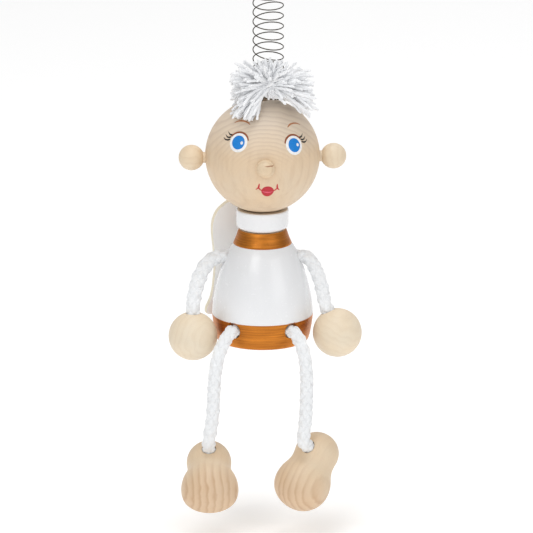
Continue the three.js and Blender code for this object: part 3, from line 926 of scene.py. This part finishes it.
# Directions are (right, up) in degrees, as someone who faces the figure sees it, and a brow has a roll too.
# Shapes are in millimetres on the head's surface. Lids, lashes and the mouth's marks are drawn for one side.
EYES = {-1: (-27.4, 25.4), 1: (36.4, 21.6)}
BROWS = {-1: (-30.2, 47.6, -3.0), 1: (47.0, 42.6, -5.0)}
MOUTH = (5.6, -24.2)
FACE_ROLL = -3.2
PAINT = {"first": 0.05, "second": 0.08, "third": 0.11}  # how proud of the wood each coat stands
EYE_ROLL = {-1: 4.0, 1: -9.0}


def on_head(direction, shape, lift, roll=0.0):
    """Flat (across, up) points round a direction from the head's centre, laid on the head's surface."""
    right, up = map(math.radians, direction)
    centre = np.array((math.sin(right) * math.cos(up), -math.cos(right) * math.cos(up), math.sin(up)))
    across = np.array((math.cos(right), math.sin(right), 0))
    above = np.cross(centre, across) * -1
    above = above if above[2] > 0 else -above
    turn = math.radians(roll)
    placed_points = []
    for u, v in shape:
        u, v = u * math.cos(turn) - v * math.sin(turn), u * math.sin(turn) + v * math.cos(turn)
        angle = math.hypot(u, v) / HEAD["radius"]
        way = (across * u + above * v) / max(math.hypot(u, v), 1e-9)
        outwards = centre * math.cos(angle) + way * math.sin(angle)
        placed_points.append(HEAD_CENTRE + outwards * (HEAD["radius"] + lift))
    return placed_points


def patch(direction, outline, lift, roll=0.0):
    """A closed film of paint: an outline filled in on the head, with its underside just inside the wood."""
    outline = np.asarray(outline, float)
    if np.sum(outline[:, 0] * np.roll(outline[:, 1], -1) - outline[:, 1] * np.roll(outline[:, 0], -1)) < 0:
        outline = outline[::-1]
    middle = outline.mean(axis=0)
    count = len(outline)
    shares = [0.18, 0.36, 0.54, 0.72, 0.88, 0.97, 1.0]
    flat = [middle] + [middle + (p - middle) * share for share in shares for p in outline]
    top = on_head(direction, flat, lift, roll)
    edge = on_head(direction, outline, lift - 0.03, roll)
    top[-count:] = edge
    base = on_head(direction, flat, -0.12, roll)
    size = len(top)
    faces = []
    for i in range(count):
        j = (i + 1) % count
        faces += [(0, 1 + i, 1 + j), (size, size + 1 + j, size + 1 + i)]
        for ring in range(len(shares) - 1):
            a, b = 1 + ring * count, 1 + (ring + 1) * count
            faces += [(a + i, b + i, b + j, a + j), (size + a + j, size + b + j, size + b + i, size + a + i)]
        rim = 1 + (len(shares) - 1) * count
        faces.append((rim + i, size + rim + i, size + rim + j, rim + j))
    return top + base, faces


def ellipse(centre, wide, high, turn=0.0, count=48):
    turn = math.radians(turn)
    points = []
    for i in range(count):
        angle = 2 * math.pi * i / count
        u, v = wide * math.cos(angle), high * math.sin(angle)
        across = centre[0] + u * math.cos(turn) - v * math.sin(turn)
        points.append((across, centre[1] + u * math.sin(turn) + v * math.cos(turn)))
    return points


def stroke(controls, widths, steps=8):
    """The outline of a brush stroke through control points, with a width at each of them."""
    line = smooth_curve(controls, steps)
    places = np.linspace(0, len(widths) - 1, len(line))
    half = np.interp(places, range(len(widths)), widths) / 2
    ahead = np.gradient(line, axis=0)
    side = np.stack([-ahead[:, 1], ahead[:, 0]], axis=1) / np.linalg.norm(ahead, axis=1)[:, None]
    return line, side * half[:, None]


def painted_stroke(direction, controls, widths, lift, roll=0.0):
    """A closed film of paint along a brush stroke."""
    line, side = stroke(controls, widths)
    count = len(line)
    top = (
        on_head(direction, line + side, lift - 0.03, roll)
        + on_head(direction, line, lift, roll)
        + on_head(direction, line - side, lift - 0.03, roll)
    )
    base = on_head(direction, line + side, -0.12, roll) + on_head(direction, line - side, -0.12, roll)
    faces = []
    low = 3 * count
    for i in range(count - 1):
        j = i + 1
        faces += [(i, count + i, count + j, j), (count + i, 2 * count + i, 2 * count + j, count + j)]
        faces += [(i, j, low + j, low + i), (2 * count + i, low + count + i, low + count + j, 2 * count + j)]
        faces.append((low + i, low + j, low + count + j, low + count + i))
    for i, turned_round in ((0, False), (count - 1, True)):
        end = [i, low + i, low + count + i, 2 * count + i, count + i]
        faces.append(end[::-1] if turned_round else end)
    return top + base, faces


def mirrored(points, side):
    return [(side * u, v) for u, v in points]


STROKE_WIDTHS = {
    "lid": (0.5, 0.8, 0.85, 0.8, 0.55),
    "lash": (0.6, 0.78, 0.6, 0.15),
    "brow": (0.35, 0.75, 0.75, 0.65, 0.25),
    "lip_highlight": (0.15, 0.5, 0.62, 0.5, 0.15),
    "corner": (0.6, 0.55, 0.6),
    "tick": (0.35, 0.75, 0.75, 0.3),
}
LID = [(4.62 * math.cos(math.radians(a)), 4.62 * math.sin(math.radians(a))) for a in range(36, 169, 12)]
LASHES = [
    [(3.6, 3.1), (4.3, 3.05), (5.2, 3.3), (6.5, 4.5)],
    [(4.2, 2.2), (5.0, 1.85), (6.2, 2.0), (7.6, 3.2)],
    [(4.4, 1.1), (5.4, 0.7), (6.8, 0.75), (8.3, 1.7)],
]
BROW = [(-3.9, -0.9), (-2.2, 0.15), (0, 0.55), (2.2, 0.3), (3.9, -0.5)]
LIPS = [(0, 2.5), (1.5, 2.1), (2.5, 0.9), (2.7, -0.4), (2.0, -1.9), (1.0, -2.8), (0, -3.05)]
CORNER = [(2.4, 0.1), (3.2, 0.5), (4.1, 1.5)]
TICK = [(3.95, 3.6), (4.0, 2.4), (4.2, 1.4), (5.2, 0.3)]
# The lips' painted highlight: a pale pink line across their middle.
LIP_HIGHLIGHT_LINE = [(-2.3, -0.25), (-1.0, -0.6), (0, -0.65), (1.0, -0.6), (2.3, -0.25)]

FACE = {
    "eye_whites": ((255, 255, 255), []),
    "irises": ((0, 134, 224), []),
    "glints": ((250, 252, 253), []),
    "eyelids": ((150, 80, 44), []),
    "lashes": ((34, 28, 26), []),
    "brows": ((193, 124, 76), []),
    "lips": ((198, 20, 40), []),
    "lip_light": ((240, 92, 122), []),
    "mouth_lines": ((204, 18, 38), []),
}



def paint_stroke(film, width, where, line, coat, roll=0.0):
    """Adds a brush stroke to one of the face's films."""
    FACE[film][1].append(painted_stroke(where, line, STROKE_WIDTHS[width], PAINT[coat], roll))


def paint_patch(film, where, outline, coat, roll=0.0):
    """Adds a filled shape to one of the face's films."""
    FACE[film][1].append(patch(where, outline, PAINT[coat], roll))


for side, where in EYES.items():
    roll = EYE_ROLL[side]
    paint_patch("eye_whites", where, ellipse((0.0, -0.05), 4.15, 4.25), "first", roll)
    paint_patch("irises", where, ellipse((0, 0), 3.0, 3.1), "second", roll)
    paint_patch("glints", where, ellipse((1.65, -0.05), 0.62, 0.72, count=24), "third")
    paint_stroke("eyelids", "lid", where, mirrored(LID, side), "second", -6.0 * side)
    for lash in LASHES:
        paint_stroke("lashes", "lash", where, mirrored(lash, side), "first")
    right, up, turn = BROWS[side]
    paint_stroke("brows", "brow", (right, up), BROW, "first", turn)

lips = smooth_curve(LIPS + mirrored(LIPS[1:-1], -1)[::-1], 5, closed=True)
paint_patch("lips", MOUTH, lips, "first", FACE_ROLL)
# Painted highlight along the middle of the lips.
paint_stroke("lip_light", "lip_highlight", MOUTH, LIP_HIGHLIGHT_LINE, "second", FACE_ROLL)
for side in (-1, 1):
    paint_stroke("mouth_lines", "corner", MOUTH, mirrored(CORNER, side), "first", FACE_ROLL)
    paint_stroke("mouth_lines", "tick", MOUTH, mirrored(TICK, side), "first", FACE_ROLL)

for name, (colour, shapes) in FACE.items():
    film = solid(f"paint_{name}", *gather(shapes), 60.0)
    faced_outwards(film)
    finished(film, "figure", face_paint(f"paint_{name}", colour))

# ---- The hair ----

YARN = cotton("yarn", (254, 254, 255), (238, 240, 243), 3.0)
YARN_RADIUS = 0.58
TIE = np.array((2.5, -8.2, 66.5))  # where the front strands are tied
COIL_CLEAR = COIL["radius"] + COIL["wire"] + 0.75
SKULL_CLEAR = HEAD["radius"] + 0.45

rng = np.random.default_rng(5)
FRONT = unit((0, -0.976, 0.216))  # forwards from the head's middle, and a little up
FRINGE = 52.6  # the height the fringe is cut at
BARE_FROM = -0.8  # the forehead is bare from here to the figure's left


def trimmed(points):
    """A strand cut off where it hangs below the fringe."""
    low = (points[:, 2] < FRINGE) & (points[:, 1] < -6)
    return points[:max(3, int(np.argmax(low)))] if low.any() else points


def over_forehead(points):
    """Whether part of a strand hides the bare side of the forehead from the front."""
    off_centre = points - HEAD_CENTRE
    outwards = off_centre @ FRONT
    beside = np.linalg.norm(off_centre - outwards[:, None] * FRONT, axis=1)
    hiding = (outwards > 0) & (points[:, 0] > BARE_FROM) & (beside < HEAD["radius"] - 0.6)
    return bool(np.any(hiding))


def yarn_strand(root, heading, length, droop, curl=0.35):
    """A length of two-ply yarn that leaves its root one way, droops, and keeps off the head and the spring.

    It is None if it would lie across the bare side of the forehead.
    """
    step = 0.7
    points, way = [np.asarray(root, float)], unit(heading)
    bend = rng.normal(0, curl, 3)
    for _ in range(int(length / step)):
        bend = bend * 0.9 + rng.normal(0, curl * 0.3, 3)
        way = unit(way + np.array((0, 0, -droop)) * step / 10 + bend * step / 10)
        point = points[-1] + way * step
        off_skull = point - HEAD_CENTRE
        clear = SKULL_CLEAR + YARN_RADIUS
        if np.linalg.norm(off_skull) < clear:
            point = HEAD_CENTRE + unit(off_skull) * clear
        off_coil = point[:2] - (COIL["x"], 0)
        clear = COIL_CLEAR + YARN_RADIUS
        if np.linalg.norm(off_coil) < clear:
            point[:2] = np.array((COIL["x"], 0)) + unit(off_coil) * clear
        way = unit(point - points[-1])
        points.append(point)
    points = trimmed(np.array(points))
    if over_forehead(points):
        return None
    fine = smooth_curve(points, 2)
    start = rng.uniform(0, 2 * math.pi)
    size = YARN_RADIUS * rng.uniform(0.88, 1.12)

    def section(angles, i):
        twist = start + i * 0.42
        end = min(1.0, 0.72 + 0.28 * (len(fine) - 1 - i) / 2)
        return size * end * (0.8 + 0.3 * np.abs(np.cos(angles - twist)))

    return sweep(fine, 10, section)


# How far the tied strands reach at an angle round the front-to-back line from the figure's left, in degrees and
# millimetres.
REACH = [
    (-40, 26), (-28, 25.5), (-12, 21.5), (6, 17), (21, 15.8), (39, 12.6), (52, 12.0), (90, 11.6), (130, 14.5),
    (145, 16.5), (165, 15.5), (180, 14), (200, 15), (213, 19), (220, 22.5), (227, 22), (236, 18.5),
    (247, 15.5), (262, 14.5),
]


ROOT_SPREAD = (1.3, 0.5, 1.1)  # how far the tie's strands start from its middle
SPILL_SHORT = -34  # the spilling strands are cut shorter below this angle


def reach_at(angle):
    return float(np.interp(angle, *zip(*REACH)))


def fan(count, start, width, spread=0.5):
    """So many angles over a width of degrees, each off its even place by up to a share of a space."""
    for i in range(count):
        yield start + width * (i + rng.uniform(-spread, spread)) / count


def frontwards(angle, rise):
    """A direction at an angle round the front-to-back line, which leans so far out to the front."""
    turn = math.radians(angle)
    return (math.cos(turn), -rise, math.sin(turn))


def scattered(place, spread):
    return place + rng.normal(0, 1, 3) * spread


def tied_strand(angle, rise, share, droop):
    """A strand from the tie, as long as a share of the tuft's reach at its angle."""
    root = scattered(TIE, ROOT_SPREAD)
    return yarn_strand(root, frontwards(angle, rise), reach_at(angle) * share, droop, 0.22)


def lock(angles, rises, root, spread, lengths, droop, curl, trim=lambda angle: 1.0):
    """Strands that leave one root, each with a rise and a length from between two limits."""
    made = []
    for angle in angles:
        way = frontwards(angle, rng.uniform(*rises))
        start = scattered(root, spread)
        made.append(yarn_strand(start, way, rng.uniform(*lengths) * trim(angle), droop, curl))
    return made


strands = []
for angle in fan(160, -32, 244):  # the burst, from the figure's left over the top to its right
    rises = (0.0, 0.25) if angle < 10 else (-0.6, 1.0)
    share = rng.uniform(0.84, 1.06 if angle < -8 else 1.0)
    strands.append(tied_strand(angle, rng.uniform(*rises), share, rng.uniform(0.0, 0.2)))
for angle in fan(66, 205, 38):  # the fringe on the figure's right
    strands.append(tied_strand(angle, rng.uniform(0.1, 0.8), rng.uniform(0.88, 1.08), rng.uniform(0.2, 0.5)))
# The upright lock at the fringe's inner end, the short strands under the tie, and those that spill to the left.
upright = (rng.uniform(238, 262) for _ in range(28))
strands += lock(upright, (0.4, 0.7), TIE - (3.2, -0.4, 1.2), (0.9, 0.4, 0.6), (13.0, 14.6), 0.3, 0.12)
strands += lock(fan(44, -98, 66), (-0.2, 0.6), TIE, ROOT_SPREAD, (5.0, 7.6), 0.2, 0.2)
strands += lock(
    fan(36, -44, 32), (-0.1, 0.12), TIE + (1.5, 1.0, -0.8), (1.2, 0.6, 0.9), (8.0, 15.0), 0.1, 0.2,
    lambda angle: 1.0 if angle > SPILL_SHORT else 0.6,
)
strands.append(tied_strand(146, 0.1, 1.18, 0.0))  # two loose strands
strands.append(tied_strand(176, 0.2, 1.2, 0.0))

# The strands round the spring: how long they are at an angle round it, and how the four tiers rise.
BACK_LENGTH = [(-38, 13), (0, 11), (40, 11), (140, 8.5), (218, 7.5)]
TIER_RISES = (-0.3, 0.05, 0.35, 0.65)
TIER_BOTTOM, TIER_GAP = 60.0, 1.9
TIER_RADIUS = 8.8


def round_coil(angle, height, rise, length):
    """A strand from a ring round the spring, headed away from it."""
    turn = math.radians(angle)
    out = np.array((math.cos(turn), math.sin(turn), 0))
    root = np.array((COIL["x"], 0, height)) + out * TIER_RADIUS + rng.normal(0, 0.5, 3)
    return yarn_strand(root, out + np.array((0, 0, rise)), length, rng.uniform(0.3, 0.9), 0.25)


for i, angle in enumerate(fan(132, -38, 256, 0.4)):
    tier = i % len(TIER_RISES)
    length = float(np.interp(angle, *zip(*BACK_LENGTH))) * rng.uniform(0.85, 1.08)
    rise = TIER_RISES[tier] + rng.uniform(-0.15, 0.15)
    strands.append(round_coil(angle, TIER_BOTTOM + TIER_GAP * tier, rise, length))

finished(solid("hair_yarn", *gather(filter(None, strands)), 80.0), "figure", YARN, ["hair"])

# ---- The body ----


def collar():
    radius, bottom, height = COLLAR["radius"], COLLAR["bottom"], COLLAR["height"]
    top_rim, bottom_rim = COLLAR["top_rim"], COLLAR["bottom_rim"]
    outline = [
        (0, bottom), *arc(bottom_rim, bottom + bottom_rim, -86, 0, 10, radius - bottom_rim),
        *arc(top_rim, height - top_rim, 0, 86, 8, radius - top_rim), (0, height),
    ]
    obj = solid("collar_turned", *lathe(outline, segments=128))
    drill(obj, (0, 0, height), (0, 0, bottom - 1), DOWEL["radius"] + PEG_FIT, 0.0)
    # The flat top and the bore get greyish bare wood; on the top it also serves as painted shade and a painted
    # reflection of the head above.
    for material in (TURNED_WHITE, SHADED_WOOD):
        obj.data.materials.append(material)
    for face in obj.data.polygons:
        flat = abs(face.normal.z) > 0.98 and face.center.z / MM - TORSO_TOP > height - 0.05
        inside = math.hypot(face.center.x, face.center.y) / MM < DOWEL["radius"] + 0.5
        face.material_index = 1 if flat or inside else 0
    return obj


# Greyish bare wood for the collar's top and bore; on the top it also stands in for painted shade and the head's
# painted reflection.
SHADED_WOOD = wood("collar_wood_and_painted_shade", (4, 3, 0), (0.1, 0.05, 1), (222, 208, 190), (186, 168, 148), 1.6, 0.5)
finished(collar(), "figure", TURNED_WHITE, ["collar"])


def torso():
    """The turned body, with its two gold bands as faces of their own."""
    lower = smooth_curve(TORSO_LOWER, 8)
    upper = smooth_curve(TORSO_UPPER, 8)
    top = smooth_curve(TORSO_NECK, 8)
    base = TORSO_LOWER[0][1]
    turned = np.vstack([lower, CREASE, upper[:-1], GROOVE, top[1:]])
    outline = [(0, base), *map(tuple, turned), (0, 0)]
    obj = solid("torso_turned", *lathe(outline, segments=160))
    for side in (-1, 1):
        arm, leg = np.array((side, 0, 0)), unit((side * LEG_WAY[0], *LEG_WAY[1:]))
        for way, bore, height in ((arm, ARM_BORE, ARM_HEIGHT), (leg, LEG_BORE, LEG_HEIGHT)):
            start, end = (way * reach + (0, 0, height) for reach in bore)
            drill(obj, start, end, CORD_HOLE, 0.3, 64)
    peg_way = wing_way()
    at = np.array((0, 0, WING_PEG["height"]))
    drill(obj, at + peg_way * 19, at + peg_way * 9, WING_PEG["radius"] + PEG_FIT, 0.2)
    drill(obj, (0, 0, 0), (0, 0, DOWEL["bottom"] - 0.3), DOWEL["radius"] + PEG_FIT, 0.0)
    for material in (TURNED_WHITE, GOLD, DOWEL_WOOD):
        obj.data.materials.append(material)
    for face in obj.data.polygons:
        height = face.center.z / MM - TORSO_TOP
        reach = math.hypot(face.center.x, face.center.y) / MM
        radial = (face.normal.x * face.center.x + face.normal.y * face.center.y) / MM / max(reach, 1e-6)
        inside = reach < 18.2 and height < -39 or reach < 9.9 and height > -13 or radial < -0.2
        if height < base + 0.05 and reach < 18.5 or inside:
            face.material_index = 2
        elif height < LOWER_GOLD or height > UPPER_GOLD:
            face.material_index = 1
    return obj


def wing_way():
    turn = math.radians(WING["turn"])
    return np.array((-math.sin(turn), math.cos(turn), 0))


finished(torso(), "figure", TURNED_WHITE, ["torso"])

PLY_WHITE = coat_of_paint("white_ply", (255, 255, 254), (0.4, 0.6), 0.03, (1, 0, 0), 0.1)
PLY_EDGE = wood(
    "ply_edge", (0, 30, -20), (0.95, 0.3, 0), (246, 240, 222), (226, 211, 182), 0.9, 0.5, 0.4, 0.5
)


def wings():
    """The wing plate: one flat sheet, painted on its faces and bare on its edges."""
    half = smooth_curve(WING_EDGE, 6)
    outline = [*map(tuple, half), *[(-u, z) for u, z in half[1:-1][::-1]]]
    front, depth = WING["front"], WING["thickness"]
    count = len(outline)
    points = [(u, front + depth * k, z) for k in (0, 1) for u, z in outline]
    faces = [list(range(count)), list(range(2 * count - 1, count - 1, -1))]
    faces += [(i, i + count, (i + 1) % count + count, (i + 1) % count) for i in range(count)]
    turn = math.radians(WING["turn"])
    side = (math.cos(turn), math.sin(turn), 0)
    obj = solid("wing_plate", placed(points, placing((0, 0, 0), (0, 0, 1), side)), faces)
    faced_outwards(obj)
    bevel(obj, 0.45, 60.0)
    at = np.array((0, 0, WING_PEG["height"]))
    drill(obj, at + wing_way() * front, at + wing_way() * (front + 1.0), WING_PEG["radius"] + 0.1, 0.0)
    for material in (PLY_WHITE, PLY_EDGE):
        obj.data.materials.append(material)
    way = Vector(wing_way())
    for face in obj.data.polygons:
        face.material_index = 0 if abs(face.normal.dot(way)) > 0.8 else 1
    return obj


finished(wings(), "figure", PLY_WHITE, ["wings"])
peg_ends = [np.array((0, 0, WING_PEG["height"])) + wing_way() * WING_PEG[end] for end in ("start", "end")]
wing_peg = peg("wing_peg_turned", WING_PEG["radius"], *peg_ends)
finished(wing_peg, "figure", DOWEL_WOOD, ["wing_peg"])

# ---- The hands and feet ----


def entry(limb_name):
    """Where a cord enters its hand or foot, the way it goes, and where it ends."""
    data = LIMBS[limb_name]
    route = data["route"]
    bend = np.array(route[data["bends"][-1]])
    return np.array(route[-2]), unit(np.array(route[-1]) - bend), np.array(route[-1])


def hand(side):
    mouth, inwards, end = entry(f"arm_{side}")
    centre = mouth + inwards * math.sqrt(HAND_RADIUS**2 - CORD_HOLE**2)
    grain = placing(centre, (0.25, 0.35, 0.9), (1, 0, 0))
    obj = solid(f"hand_{side}_turned", *lathe(arc(HAND_RADIUS, 0, -90, 90, 72), grain, 128))
    drill(obj, mouth, end + inwards * 0.2, CORD_HOLE, 0.3, 64)
    return obj, centre


HAND_WOODS = {
    "left": ((34, 6, -58), (0.5, 1, 0.2), 2.6),
    "right": ((-10, -50, -60), (0.35, 0.25, 1), 3.0),
}
for side in ("left", "right"):
    ball, middle = hand(side)
    pith, axis, ring = HAND_WOODS[side]
    hand_wood = wood(f"hand_{side}_wood", pith, axis, (241, 227, 204), (216, 193, 163), ring, 0.28, 0.4, 2.5)
    finished(ball, f"hand_{side}", hand_wood, [f"hand_{side}"])


def foot(side):
    """A turned pin with a round heel and a fatter toe, cut flat for a sole and bored from above."""
    mouth, inwards, end = entry(f"leg_{side}")
    up = -inwards
    forward = np.cross(unit(np.cross(up, TOES[side])), up)
    origin = mouth + inwards * HEEL_RADIUS
    along = smooth_curve(FOOT_OUTLINE, 6)[1:-1]
    sides = 128
    ease = 0.35  # how softly the sole's edge turns
    points = []
    for reach, radius in along:
        for j in range(sides):
            angle = 2 * math.pi * (j + 0.5) / sides
            height = radius * math.sin(angle)
            flat = -SOLE_DEPTH + ease * math.log1p(math.exp(min(60.0, (height + SOLE_DEPTH) / ease)))
            points.append((reach, -radius * math.cos(angle), flat))
    points = placed(points, placing(origin, up, forward))
    obj = solid(f"foot_{side}_turned", points, ring_faces(len(along), sides), 50.0)
    faced_outwards(obj)
    drill(obj, mouth, end + inwards * 0.2, CORD_HOLE, 0.3, 64)
    return obj, origin, up, forward


def towards_toe(s, origin, forward, stops):
    """A share that changes along a foot, from its heel's middle to its toe."""
    reach = s.node("SeparateXYZ", {0: s.coordinates(row(origin), forward)}).outputs["Z"]
    return s.ramp(s.math("DIVIDE", reach, FOOT_OUTLINE[-1][0], clamp=True), stops)


def foot_wood(side, origin, up, forward):
    """Pale on the heel, and browner with upright stripes of grain over the toe."""
    across = np.cross(up, forward)
    pith = origin + across * (46 if side == "left" else -52) + up * 6

    def rings(s):
        return towards_toe(s, origin, forward, [(0.25, 0.1), (0.5, 0.4), (0.75, 0.85)])

    def browner_toe(s, colour):
        return s.mix(towards_toe(s, origin, forward, [(0.35, 0.0), (0.8, 0.3)]), colour, srgb(204, 164, 128))

    return wood(
        f"foot_{side}_wood", tuple(pith), tuple(forward + 0.05 * up), (236, 216, 187), (184, 144, 108), 3.1,
        rings, 0.35, 0.9, browner_toe,
    )


for side in ("left", "right"):
    shoe, origin, up, forward = foot(side)
    finished(shoe, f"foot_{side}", foot_wood(side, origin, up, forward), [f"foot_{side}"])

# ---- The floor, the light and the background ----

FLOOR = -0.299  # in metres, just under the feet at rest
GROUND = 30.0
FLOOR_GLOW = 0.19

bpy.ops.mesh.primitive_plane_add(size=GROUND, location=(0, 0, FLOOR))
floor = bpy.context.object
floor.name = "floor"
floor.data.materials.append(paper("floor", (252, 252, 252), FLOOR_GLOW))


def softbox(name, position, size, power):
    """A square area light that looks at the object's middle."""
    data = bpy.data.lights.new(name, "AREA")
    data.size, data.energy = size, power
    light = new_object(name, data)
    light.location = position
    light.rotation_mode = "QUATERNION"
    light.rotation_quaternion = (AIM - Vector(position)).to_track_quat("-Z", "Y")


softbox("key", (-0.7, -1.5, 1.1), 0.9, 6.5)
softbox("fill", (1.2, -1.3, 0.4), 1.0, 3.2)
softbox("rim", (0.5, 1.4, 1.0), 1.0, 2.4)
softbox("top", (0.0, -0.05, 1.2), 0.45, 5.5)

# The studio's walls: bright before and behind the object, and dimmer towards its sides.
WALL_LIGHT = (0.8, 0.42)
DIM_FROM = 0.45  # how far to the side the dimming starts, as a share of the way round
world = bpy.data.worlds.new("studio")
bpy.context.scene.world = world
world.use_nodes = True
world.node_tree.nodes.clear()
walls = Nodes(world.node_tree)
direction = walls.node("TexCoord").outputs["Generated"]
across = walls.node("SeparateXYZ", {0: direction}).outputs["X"]
sideways = walls.node("Math", {0: across}, operation="ABSOLUTE").outputs[0]
dimming = {"Value": sideways, "From Min": DIM_FROM, "To Min": WALL_LIGHT[0], "To Max": WALL_LIGHT[1]}
light = walls.node("MapRange", dimming).outputs[0]
walls.node("OutputWorld", {0: walls.node("Background", {"Strength": light}).outputs[0]})

view_settings = bpy.context.scene.view_settings
view_settings.view_transform = "Standard"
view_settings.look = "None"
